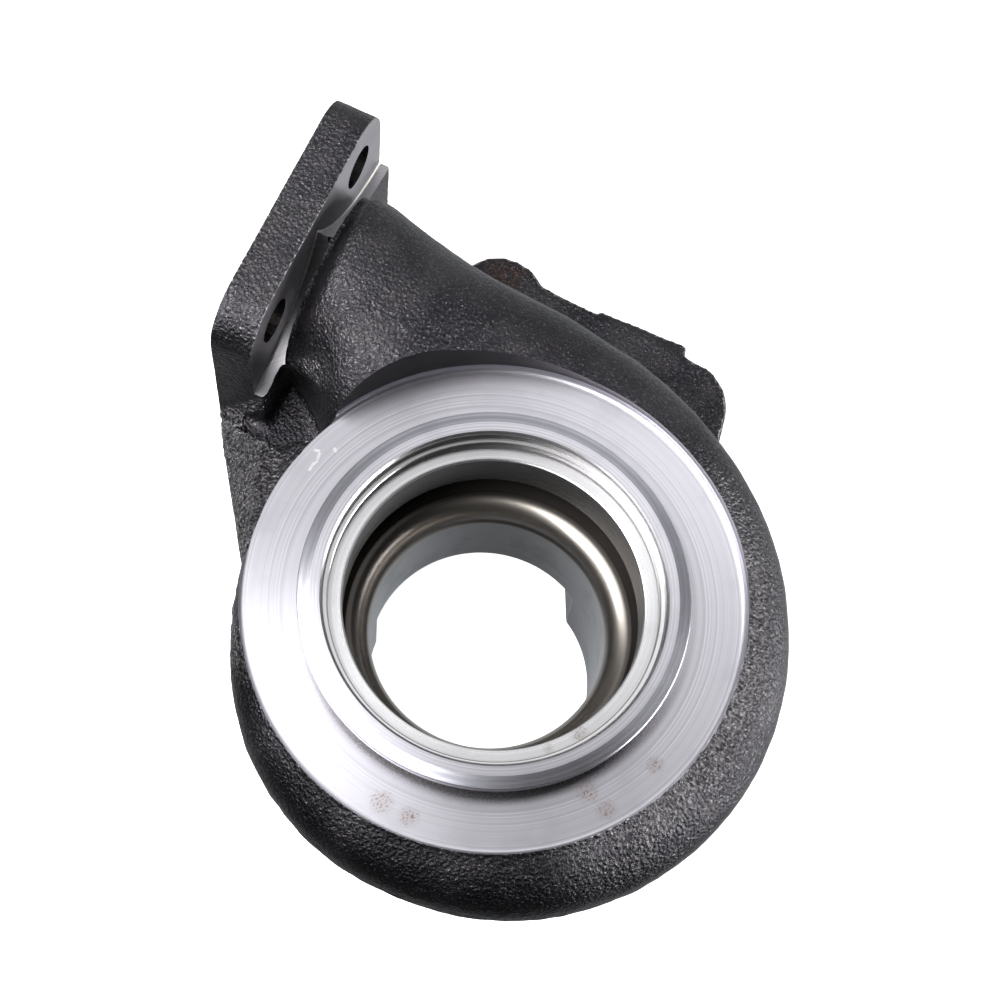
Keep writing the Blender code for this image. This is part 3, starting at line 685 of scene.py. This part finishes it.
def rough_casting(cast):
    """The casting before machining, with the soft corners and uneven skin of a sand mould."""
    body = volute_casting(cast)
    flange = rounded_rectangle(FLANGE_LOW, FLANGE_HIGH, FLANGE_FOOT, FLANGE_TOP, FLANGE_CORNER)
    for piece in (
        hub_casting(cast),
        web_casting(cast),
        flange_prism("inlet_flange", flange, GASKET_OFFSET + PAST, FLANGE_BACK, cast),
        prism("chamber", pocket_outline(CHAMBER_WALL), *CHAMBER_HEIGHTS, cast),
        discharge_flange(cast),
    ):
        join(body, piece)
    remesh = body.modifiers.new("skin", "REMESH")
    remesh.mode = "VOXEL"
    remesh.voxel_size = VOXEL
    bake(body)
    soften = body.modifiers.new("soften", "SMOOTH")
    soften.factor = 0.5
    soften.iterations = SMOOTH_STEPS
    bake(body)
    ripple(body.data)
    return body


def vertex_places(mesh):
    spots = np.empty(len(mesh.vertices) * 3)
    mesh.vertices.foreach_get("co", spots)
    return spots.reshape(-1, 3)


def ripple(mesh):
    """Moves the skin in and out a little, more where it is coarse, and raises the flash."""
    spots = vertex_places(mesh)
    normals = np.empty(spots.size)
    mesh.vertex_normals.foreach_get("vector", normals)
    normals = normals.reshape(-1, 3)
    coarse = coarse_share(spots)
    fin = parting_share(spots)
    lift = np.empty(len(spots))
    for index, spot in enumerate(spots):
        place = Vector(spot) / MM
        slow = SLOW_WAVE[0] * noise.noise(place * SLOW_WAVE[1])
        mid = MID_WAVE[0] * noise.noise(place * MID_WAVE[1] + Vector((7.0, 3.0, 1.0)))
        depth = FINE_WAVE[0] + COARSE_DEPTH * coarse[index]
        fine = depth * noise.noise(place * FINE_WAVE[1] + Vector((1.0, 9.0, 4.0)))
        torn = noise.noise(place * FLASH_WAVE[2] + Vector((4.0, 2.0, 8.0)))
        lift[index] = slow + mid + fine - SKIN_INSET
        lift[index] += fin[index] * max(FLASH_WAVE[0] + FLASH_WAVE[1] * torn, 0.0)
    spots = spots + normals * (lift * MM)[:, None]
    mesh.vertices.foreach_set("co", spots.ravel())
    mesh.update()


def clamped(values):
    return np.clip(values, 0.0, 1.0)


def coarse_share(spots):
    """How coarse the skin is: 1 on the sloping web, less beside the machined face, else 0."""
    x, y, z = (spots / MM).T
    height = (x - WEB_PEAK.x) * WEB_NORMAL.x + (y - WEB_PEAK.y) * WEB_NORMAL.y
    height = height + (z - WEB_PEAK.z) * WEB_NORMAL.z
    # The web: close to its sloping plane, left of x -36 and below y 64
    near = clamped((3.0 - np.abs(height)) / 2.0)
    web = near * clamped((-36.0 - x) / 4.0) * clamped((64.0 - y) / 4.0)
    # The flank: a sector round -18 degrees, within radius 65 and above height 50
    turn = np.degrees(np.arctan2(y, x))
    side = clamped((64.0 - np.abs(turn + 18.0)) / 34.0)
    flank = side * clamped((65.0 - np.hypot(x, y)) / 6.0) * clamped((z - 50.0) / 6.0)
    return np.maximum(web, 0.6 * flank)


def parting_share(spots):
    """How much each place lies on the flash line round the widest part of the volute."""
    x, y, z = (spots / MM).T
    turn = np.degrees(np.arctan2(y, x))
    away = np.abs(z - PARTING_HEIGHT - PARTING_SWAY * np.sin(0.05 * turn))
    line = clamped(PARTING_REACH - away)
    seen = (np.hypot(x, y) > PARTING_RADIUS) * (np.abs(turn - PARTING_MIDDLE) < PARTING_HALF_TURN)
    return line * seen


def facing_cut(looks):
    """What is turned away above the clearance face, with a fillet up to the wall round it."""
    fillet = arc(FILLET_CENTRE, FILLET_RADIUS, 270.0, 360.0, 5)
    profile = [(0.0, CLEARANCE_FACE), *fillet, (CLEARANCE_RADIUS, CUT_TOP), (0.0, CUT_TOP)]
    # The recess wall gets the dark wall look: painted shade
    bands = {6: looks["wall"]}
    return turned("facing_cut", profile, looks["turned"], CUT_SEGMENTS, bands=bands)


def clamp_ring(looks):
    """The ring for the band clamp: its groove, its edges and the raised land on top."""
    profile = in_metres(RING_PROFILE)
    bands = {8: looks["chamfer"]}
    return turned("clamp_ring", profile, looks["turned"], CUT_SEGMENTS, bands=bands)


def bore_upper(looks):
    """The pilot, the seat and the wheel bore above the nozzle slot."""
    # Darker copies of the bore metal on the pilot walls, the wheel-bore wall, the small ledges and
    # the nozzle slot: painted shade
    bands = {line: looks["pilot"] for line in (3, 6, 13)}
    bands.update({line: looks["wall"] for line in (7, 8)})
    bands.update({line: looks["slot"] for line in (14, 15, 16, 17)})
    profile = in_metres(BORE_PROFILE)
    return turned("bore_upper", profile, looks["bore"], CUT_SEGMENTS, bands=bands)


def bore_lower(looks):
    """The shroud contour and the exducer bore below the nozzle slot."""
    profile = [(0.0, 50.0), (33.2, 50.0), (33.2, 47.95), (32.75, NOZZLE_FLOOR)]
    for index in range(SHROUD_STEPS + 1):
        turn = 0.5 * math.pi * index / SHROUD_STEPS
        radius = SHROUD_TOP_RADIUS - SHROUD_HALF_WIDTH * math.sin(turn)
        profile.append((radius, SHROUD_FOOT + SHROUD_HALF_HEIGHT * math.cos(turn)))
    profile += [(EXDUCER_RADIUS, 1.0), (EXDUCER_RADIUS + 3.0, BELOW), (0.0, BELOW)]
    bands = {line: looks["exducer"] for line in (16, 17)}
    return turned("bore_lower", in_metres(profile), looks["shroud"], CUT_SEGMENTS, bands=bands)


def swept_face(looks):
    """The cut behind the two front bolts, with the two arcs of the cutter meeting between them."""
    low, high = CUTTER_PLACES
    sections = []
    for offset, radius in (
        (BOLT_SEAT, CUTTER_RADIUS - CUTTER_CORNER),
        (BOLT_SEAT - CUTTER_CORNER * MM, CUTTER_RADIUS),
        (SEAT_CUT_END, CUTTER_RADIUS),
    ):
        lean = math.degrees(math.acos(CUTTER_HALF_SPACING / radius))
        outline = arc(low, radius * MM, 270.0, 360.0 - lean, 32)
        outline += arc(high, radius * MM, 180.0 + lean, 270.0, 32)[1:]
        outline += [high, low]
        sections.append([on_flange(offset, along, height) for along, height in outline])
    # The first run of faces, the corner band along the arcs, gets the bright corner look: painted
    # highlight
    return lofted("swept_face", sections, looks["milled"], looks["corner"])


def flange_disc(name, along, height, radius, near, far, material):
    outline = arc((along, height), radius, 0.0, 360.0, 64)[:-1]
    return flange_prism(name, outline, near, far, material)


def machined_casting(looks):
    """The casting with every face, bore and hole that is machined into it."""
    body = rough_casting(looks["cast"])
    cut(body, facing_cut(looks))
    join(body, clamp_ring(looks))
    ends = (GASKET_OFFSET, GASKET_OFFSET + CUT_DEPTH)
    block = rounded_rectangle(*GASKET_BLOCK)
    cut(body, flange_prism("gasket_plane", block, *ends, looks["milled"]))
    cut(body, prism("discharge_plane", DISCHARGE_BLOCK, -20.0, 0.0, looks["milled"]))
    cut(body, swept_face(looks))
    cut(body, gas_passage(looks["cast"]))
    cut(body, bore_upper(looks))
    cut(body, bore_lower(looks))
    cut(body, prism("pocket", pocket_outline(0.0), BELOW, POCKET_TOP, looks["cast"]))
    port = in_metres(PORT_PROFILE)
    centre = (POCKET_CENTRE_X * MM, PORT_Y * MM)
    cut(body, turned("wastegate_port", port, looks["milled"], 64, centre))
    for along in BOLT_ALONG:
        seat = (SPOTFACE_RADIUS, BOLT_SEAT, SEAT_CUT_END, looks["milled"])
        cut(body, flange_disc("spotface", along, BOLT_HEIGHTS[0], *seat))
        for height in BOLT_HEIGHTS:
            ends = (GASKET_OFFSET + PAST, SEAT_CUT_END + PAST)
            hole = (along, height, BOLT_HOLE_RADIUS, *ends, looks["drilled"])
            cut(body, flange_disc("flange_hole", *hole))
    for x, y, _, _ in DISCHARGE_LOBES:
        hole = in_metres(STUD_HOLE_PROFILE)
        cut(body, turned("stud_hole", hole, looks["drilled"], 40, (x * MM, y * MM)))
    body.name = "housing_skin"
    body.data.shade_smooth()
    body.data.set_sharp_from_angle(angle=SHARP_ANGLE)
    flatten = body.modifiers.new("flatten", "WEIGHTED_NORMAL")
    flatten.keep_sharp = True
    flatten.weight = 90
    bake(body)
    return body


def mark_skin(mesh, spots):
    """Stores for the materials where the skin is coarse, has a sharp edge or bears flash."""
    sharp = np.zeros(len(mesh.vertices))
    flags = np.empty(len(mesh.edges), dtype=bool)
    mesh.attributes["sharp_edge"].data.foreach_get("value", flags)
    ends = np.empty(len(mesh.edges) * 2, dtype=np.int32)
    mesh.edges.foreach_get("vertices", ends)
    sharp[ends.reshape(-1, 2)[flags].ravel()] = 1.0
    offset = (spots @ np.array(FLANGE_OUT)) / MM
    sharp[(offset < BACK_EDGE[1]) & (spots[:, 2] > BACK_EDGE_HEIGHT)] = 0.0
    sharp[(offset > BACK_EDGE[0]) & (offset < BACK_EDGE[1])] = 0.0
    flash = parting_share(spots)
    for name, values in (("coarse", coarse_share(spots)), ("rim", sharp), ("flash", flash)):
        layer = mesh.attributes.new(name, "FLOAT", "POINT")
        layer.data.foreach_set("value", values)


class Look:
    """A material built from nodes, with places read in millimetres from the part's own axes."""

    def __init__(self, name, metallic):
        self.material = bpy.data.materials.new(name)
        self.material.use_nodes = True
        self.tree = self.material.node_tree
        self.shader = self.tree.nodes["Principled BSDF"]
        self.shader.inputs["Metallic"].default_value = metallic
        metres = self.add("ShaderNodeTexCoord").outputs["Object"]
        self.place = self.vector("SCALE", metres, scale=1.0 / MM)

    def add(self, kind, **settings):
        node = self.tree.nodes.new(kind)
        for key, value in settings.items():
            setattr(node, key, value)
        return node

    def feed(self, socket, value):
        if isinstance(value, bpy.types.NodeSocket):
            self.tree.links.new(value, socket)
        else:
            socket.default_value = value

    def vector(self, operation, first, second=(0.0, 0.0, 0.0), scale=1.0):
        node = self.add("ShaderNodeVectorMath", operation=operation)
        self.feed(node.inputs[0], first)
        self.feed(node.inputs[1], second)
        self.feed(node.inputs[3], scale)
        return node.outputs["Value" if operation in ("LENGTH", "DISTANCE") else "Vector"]

    def calc(self, operation, first, second=0.0):
        node = self.add("ShaderNodeMath", operation=operation)
        self.feed(node.inputs[0], first)
        self.feed(node.inputs[1], second)
        return node.outputs[0]

    def times(self, first, second):
        return self.calc("MULTIPLY", first, second)

    def axes(self):
        """The x, y and z of the place."""
        split = self.add("ShaderNodeSeparateXYZ")
        self.feed(split.inputs[0], self.place)
        return split.outputs[0], split.outputs[1], split.outputs[2]

    def reach(self):
        """The distance of the place from the wheel axis."""
        return self.vector("LENGTH", self.vector("MULTIPLY", self.place, (1.0, 1.0, 0.0)))

    def noise(self, scale, detail=2.0, rough=0.5, place=None):
        node = self.add("ShaderNodeTexNoise")
        self.feed(node.inputs["Vector"], place or self.place)
        self.feed(node.inputs["Scale"], scale)
        self.feed(node.inputs["Detail"], detail)
        self.feed(node.inputs["Roughness"], rough)
        return node.outputs[0]

    def lines(self, along, scale, detail=2.0):
        """Noise that changes along one value only, so it draws lines."""
        node = self.add("ShaderNodeTexNoise", noise_dimensions="1D")
        self.feed(node.inputs["W"], along)
        self.feed(node.inputs["Scale"], scale)
        self.feed(node.inputs["Detail"], detail)
        return node.outputs[0]

    def cells(self, scale):
        node = self.add("ShaderNodeTexVoronoi", feature="SMOOTH_F1")
        self.feed(node.inputs["Vector"], self.place)
        self.feed(node.inputs["Scale"], scale)
        return node.outputs["Distance"]

    def span(self, value, low, high, start=0.0, end=1.0):
        """The value eased from low..high to start..end."""
        node = self.add("ShaderNodeMapRange", interpolation_type="SMOOTHSTEP")
        for socket, number in zip(node.inputs, (value, low, high, start, end)):
            self.feed(socket, number)
        return node.outputs[0]

    def mix(self, share, first, second):
        node = self.add("ShaderNodeMix", data_type="RGBA")
        self.feed(node.inputs[0], share)
        self.feed(node.inputs[6], color(first))
        self.feed(node.inputs[7], color(second))
        return node.outputs[2]

    def attribute(self, name):
        return self.add("ShaderNodeAttribute", attribute_name=name).outputs["Fac"]

    def spots(self, places):
        """1 in the middle of each spot, falling to 0 at its radius."""
        total = 0.0
        for x, y, z, radius in places:
            away = self.vector("DISTANCE", self.place, (x, y, z))
            total = self.calc("MAXIMUM", self.span(away, radius, 0.25 * radius), total)
        return total

    def bump(self, height, distance, strength=1.0):
        node = self.add("ShaderNodeBump")
        self.feed(node.inputs["Strength"], strength)
        self.feed(node.inputs["Distance"], distance)
        self.feed(node.inputs["Height"], height)
        self.feed(self.shader.inputs["Normal"], node.outputs[0])

    def put(self, name, value):
        self.feed(self.shader.inputs[name], value)


def color(value):
    return value if isinstance(value, bpy.types.NodeSocket) else (*value, 1.0)


def cast_skin():
    """Dark as-cast skin: sand grain with worn specks that are partly painted glints, coarse and
    streaky where marked so with painted glints and painted shade in its hollows, painted shade on
    the flash and under the volute, and worn at its edges.
    """
    look = Look("cast_skin", 0.85)
    coarse = look.attribute("coarse")
    x, y, z = look.axes()
    grain = look.noise(1.8, 3.0, 0.62)
    domes = look.span(look.cells(1.15), 0.7, 0.05)
    # Streaks: noise in turn, reach and height, finer along the turn than across it
    polar = look.add("ShaderNodeCombineXYZ")
    look.feed(polar.inputs[0], look.times(look.calc("ARCTAN2", y, x), 60.0))
    look.feed(polar.inputs[1], look.times(look.reach(), 0.5))
    look.feed(polar.inputs[2], look.times(z, 0.5))
    gravel = look.noise(1.8, 3.0, 0.62, polar.outputs[0])
    patches = look.span(look.noise(0.055, 4.0, 0.6), 0.36, 0.66)
    skin = look.mix(patches, SKIN_DARK, SKIN_PALE)
    # Lighter specks on the high points of the grain: partly wear, partly a painted glint
    skin = look.mix(look.span(grain, 0.54, 0.68, 0.0, 0.6), skin, SKIN_WORN_SPECK_AND_GLINT)
    # Painted glints on the tops of the coarse gravel and pebbles, and painted shade in the
    # gravel's hollows
    pebbles = look.times(coarse, domes)
    light = look.times(coarse, look.span(gravel, 0.42, 0.62))
    light = look.calc("MAXIMUM", light, look.span(pebbles, 0.62, 0.95))
    skin = look.mix(look.times(light, 0.6), skin, SKIN_PAINTED_GLINT)
    hollow_shade = look.times(coarse, look.span(gravel, 0.45, 0.3))
    skin = look.mix(look.times(hollow_shade, 0.9), skin, SKIN_PAINTED_HOLLOW_SHADE)
    brown = look.span(look.noise(0.11, 3.0), 0.52, 0.72)
    brown = look.times(brown, look.span(grain, 0.45, 0.62))
    skin = look.mix(look.times(brown, 0.18), skin, SKIN_BROWN)
    rust = look.times(look.spots(CAST_RUST), look.span(look.noise(0.9, 3.0), 0.45, 0.6))
    skin = look.mix(look.times(rust, 0.45), skin, SKIN_RUST)
    # Painted shade: the flash line darkened along the fin
    skin = look.mix(look.times(look.attribute("flash"), 0.7), skin, SKIN_FLASH_PAINTED_SHADE)
    rim = look.span(look.attribute("rim"), 0.45, 0.85)
    rim = look.times(rim, look.span(grain, 0.3, 0.5))
    skin = look.mix(look.times(rim, 0.6), skin, SKIN_EDGE)
    # Painted shade: the underside of the volute darkened
    painted_shade = look.times(look.spots(CAST_PAINTED_SHADE), look.span(grain, 0.7, 0.4, 0.5, 0.85))
    skin = look.mix(painted_shade, skin, SKIN_PAINTED_SHADE)
    look.put("Base Color", skin)
    look.put("Roughness", look.span(grain, 0.3, 0.7, 0.41, 0.24))
    height = look.calc("ADD", look.times(grain, 0.8), look.times(domes, 0.45))
    height = look.calc("ADD", height, look.times(look.times(gravel, coarse), 4.0))
    height = look.calc("ADD", height, look.times(pebbles, 1.6))
    look.bump(height, 0.4 * MM)
    return look.material


def machined(name, tint, dull, rough, spots=(), lined=1.0, stretch=0.6, face=False, painted_shade=None):
    """Cut metal with fine tool lines round the axis, a few broad bands, stains and rust specks.
    Painted shade blackens it more and more from the first height of the pair to the second."""
    look = Look(name, 1.0)
    reach = look.reach()
    _, y, z = look.axes()
    travel = look.calc("ADD", reach, look.times(z, 1.37))
    fine = look.lines(travel, 2.6, 4.0)
    band = look.lines(travel, 0.42, 2.0)
    cloud = look.noise(0.1, 3.0, 0.55)
    dark = [0.75 * part for part in dull]
    tone = look.span(fine, 0.25, 0.75, 0.5 - 0.5 * lined, 0.5 + 0.5 * lined)
    metal = look.mix(tone, dull, tint)
    metal = look.mix(look.span(band, 0.55, 0.68, 0.0, 0.5 * lined), metal, dark)
    metal = look.mix(look.span(cloud, 0.45, 0.7, 0.0, 0.45), metal, dull)
    grit = look.noise(2.2, 4.0, 0.7)
    near_rust = look.spots(spots) if spots else 0.0
    metal = look.mix(look.times(near_rust, 0.3), metal, RUST_HALO)
    rust = look.span(look.noise(1.5, 3.0, 0.65), 0.53, 0.6, 0.0, 0.9)
    rust = look.times(near_rust, rust)
    specks = look.span(look.noise(0.9, 4.0, 0.75), 0.72, 0.76, 0.0, 0.8)
    marks = look.calc("MAXIMUM", rust, specks)
    metal = look.mix(marks, metal, RUST)
    # Painted shade: the metal blackened towards the edge of the nozzle slot
    if painted_shade:
        metal = look.mix(look.span(z, *painted_shade, 0.0, 0.93), metal, SLOT_EDGE_PAINTED_SHADE)
    if face:
        # Grime and painted shadow at the foot of the clamp ring, stronger on its lower side, and
        # the scuffs
        foot = look.times(look.span(reach, 46.5, 42.6), look.span(z, 70.0, 69.0))
        low = look.span(look.calc("ADD", y, look.times(reach, 0.35)), 12.0, -22.0)
        foot = look.times(look.times(foot, low), look.span(grit, 0.25, 0.6, 0.5, 1.0))
        metal = look.mix(look.times(foot, 0.85), metal, GRIME_AND_PAINTED_SHADOW)
        scuffs = look.times(look.spots(SCUFFS), look.span(grit, 0.35, 0.55))
        metal = look.mix(look.times(scuffs, 0.8), metal, SCUFFED)
    look.put("Base Color", metal)
    look.put("Metallic", look.span(marks, 0.0, 1.0, 1.0, 0.3))
    smooth = look.span(fine, 0.2, 0.8, rough + 0.07 * lined, rough - 0.05 * lined)
    look.put("Roughness", look.calc("MAXIMUM", smooth, look.times(marks, 0.7)))
    look.put("Anisotropic", stretch)
    look.put("Anisotropic Rotation", 0.25)
    tangent = look.vector("NORMALIZE", look.vector("CROSS_PRODUCT", (0.0, 0.0, 1.0), look.place))
    look.put("Tangent", tangent)
    look.bump(look.calc("ADD", fine, look.times(grit, 0.15)), 0.012 * lined * MM, 0.6)
    return look.material


def drilled():
    """Drilled holes darkened by painted shade, varied by stains, with the marks of the drill along
    them.
    """
    look = Look("drilled_holes", 1.0)
    _, y, _ = look.axes()
    stain = look.noise(0.5, 3.0)
    look.put("Base Color", look.mix(look.span(stain, 0.35, 0.7), HOLE_PAINTED_SHADE_PALE, HOLE_PAINTED_SHADE_DARK))
    look.put("Roughness", look.span(stain, 0.3, 0.7, 0.24, 0.42))
    look.bump(look.lines(y, 2.6, 1.0), 0.05 * MM, 0.5)
    return look.material


def surroundings():
    """Dark surroundings that grow light towards the table side."""
    world = bpy.data.worlds.new("studio")
    world.use_nodes = True
    tree = world.node_tree
    sky = tree.nodes["Background"]
    sky.inputs[0].default_value = WORLD_COLOR
    lean = tree.nodes.new("ShaderNodeVectorMath")
    lean.operation = "DOT_PRODUCT"
    lean.inputs[1].default_value = TABLE_SIDE
    tree.links.new(tree.nodes.new("ShaderNodeTexCoord").outputs["Generated"], lean.inputs[0])
    ramp = tree.nodes.new("ShaderNodeMapRange")
    ramp.interpolation_type = "SMOOTHSTEP"
    for socket, number in zip(ramp.inputs[1:], (-0.1, 0.9, *WORLD_LIGHT)):
        socket.default_value = number
    tree.links.new(lean.outputs["Value"], ramp.inputs[0])
    tree.links.new(ramp.outputs[0], sky.inputs[1])
    return world


def floor_plane():
    """A white floor that shines like a light table and throws no light on the housing."""
    mesh = bpy.data.meshes.new("floor")
    bm = bmesh.new()
    bmesh.ops.create_grid(bm, x_segments=1, y_segments=1, size=FLOOR_SIZE)
    bm.to_mesh(mesh)
    bm.free()
    floor = bpy.data.objects.new("floor", mesh)
    bpy.context.scene.collection.objects.link(floor)
    look = Look("floor_white", 0.0)
    look.put("Base Color", (0.8, 0.8, 0.8, 1.0))
    look.put("Roughness", 0.9)
    look.put("Emission Color", (1.0, 1.0, 1.0, 1.0))
    look.put("Emission Strength", 1.0)
    mesh.materials.append(look.material)
    floor.visible_diffuse = False
    floor.visible_glossy = False
    return floor


def studio():
    """The floor, the surroundings, three soft lights and the camera of the photograph."""
    scene = bpy.context.scene
    scene.view_settings.view_transform = "Standard"
    scene.world = surroundings()
    floor = floor_plane()
    for name, place, size, power in LAMPS:
        light = bpy.data.lights.new(name, "AREA")
        light.size = size
        light.energy = power
        lamp = bpy.data.objects.new(name, light)
        lamp.location = place
        aim = LAMP_AIM - lamp.location
        lamp.rotation_euler = aim.to_track_quat("-Z", "Y").to_euler()
        scene.collection.objects.link(lamp)
    camera = bpy.data.objects.new("camera", bpy.data.cameras.new("camera"))
    camera.data.lens = LENS
    camera.data.sensor_width = SENSOR
    back = CAMERA_RIGHT.cross(CAMERA_UP)
    turn = Matrix((CAMERA_RIGHT, CAMERA_UP, back)).transposed().to_4x4()
    camera.matrix_world = Matrix.Translation(CAMERA_PLACE + WHEEL_AXIS) @ turn
    scene.collection.objects.link(camera)
    scene.camera = camera


def keep_inside(mesh, box):
    """Holds the skin inside the CAD box and returns the places of its vertices."""
    low, high = (np.array(corner) for corner in box)
    spots = np.clip(vertex_places(mesh) + np.array(WHEEL_AXIS), low, high) - np.array(WHEEL_AXIS)
    mesh.vertices.foreach_set("co", spots.ravel())
    mesh.update()
    return spots


def main():
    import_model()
    cad_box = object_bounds()
    looks = {"cast": cast_skin()}
    for key, (usual, special) in MACHINED.items():
        looks[key] = machined(*usual, **special)
    looks["drilled"] = drilled()
    housing = machined_casting(looks)
    spots = keep_inside(housing.data, cad_box)
    mark_skin(housing.data, spots)
    housing.location = WHEEL_AXIS
    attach(housing, "root")
    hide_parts("turbine_housing")
    studio()


main()
